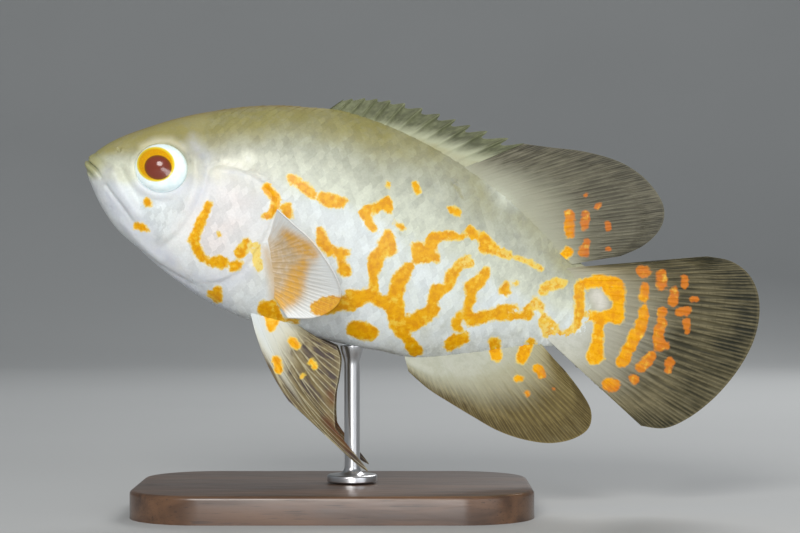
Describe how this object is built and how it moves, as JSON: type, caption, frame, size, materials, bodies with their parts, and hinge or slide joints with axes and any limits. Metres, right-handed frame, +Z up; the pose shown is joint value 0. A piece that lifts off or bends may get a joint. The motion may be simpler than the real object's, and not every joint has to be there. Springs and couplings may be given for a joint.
{
  "type": "oscar fish display model",
  "caption": "Life-size still model of a young albino tiger oscar fish, fins spread and head tilted up, held on a plain stand with a flat base and one rod.",
  "frame": {"origin": "centre of the underside of the stand's base", "axes": "+X from the fish's head towards its tail, +Z up, -Y towards the fish's left side"},
  "size_m": [0.1473, 0.058, 0.0901],
  "materials": {
    "skin": "painted scaled skin, pearl white with orange markings and an olive back, under a thin wet-look varnish",
    "fin": "thin tinted fins, satin, with paler rays and orange spots",
    "eye": "polished clear cornea over a white eyeball, orange iris and red pupil",
    "steel": "turned and brushed steel rod",
    "wood": "dark stained wood with a satin finish"
  },
  "bodies": {
    "root": {"head": "skin", "lower_jaw": "skin", "gill_cover_left": "skin", "gill_cover_right": "skin", "eye_left": "eye", "eye_right": "eye", "trunk": "skin", "tail_stalk": "skin", "dorsal_fin_spiny": "fin", "dorsal_fin_soft": "fin", "anal_fin": "fin", "tail_fin": "fin", "pectoral_fin_left": "fin", "pectoral_fin_right": "fin", "pelvic_fin_left": "fin", "pelvic_fin_right": "fin", "stand_base": "wood", "stand_rod": "steel"}
  },
  "joints": []
}
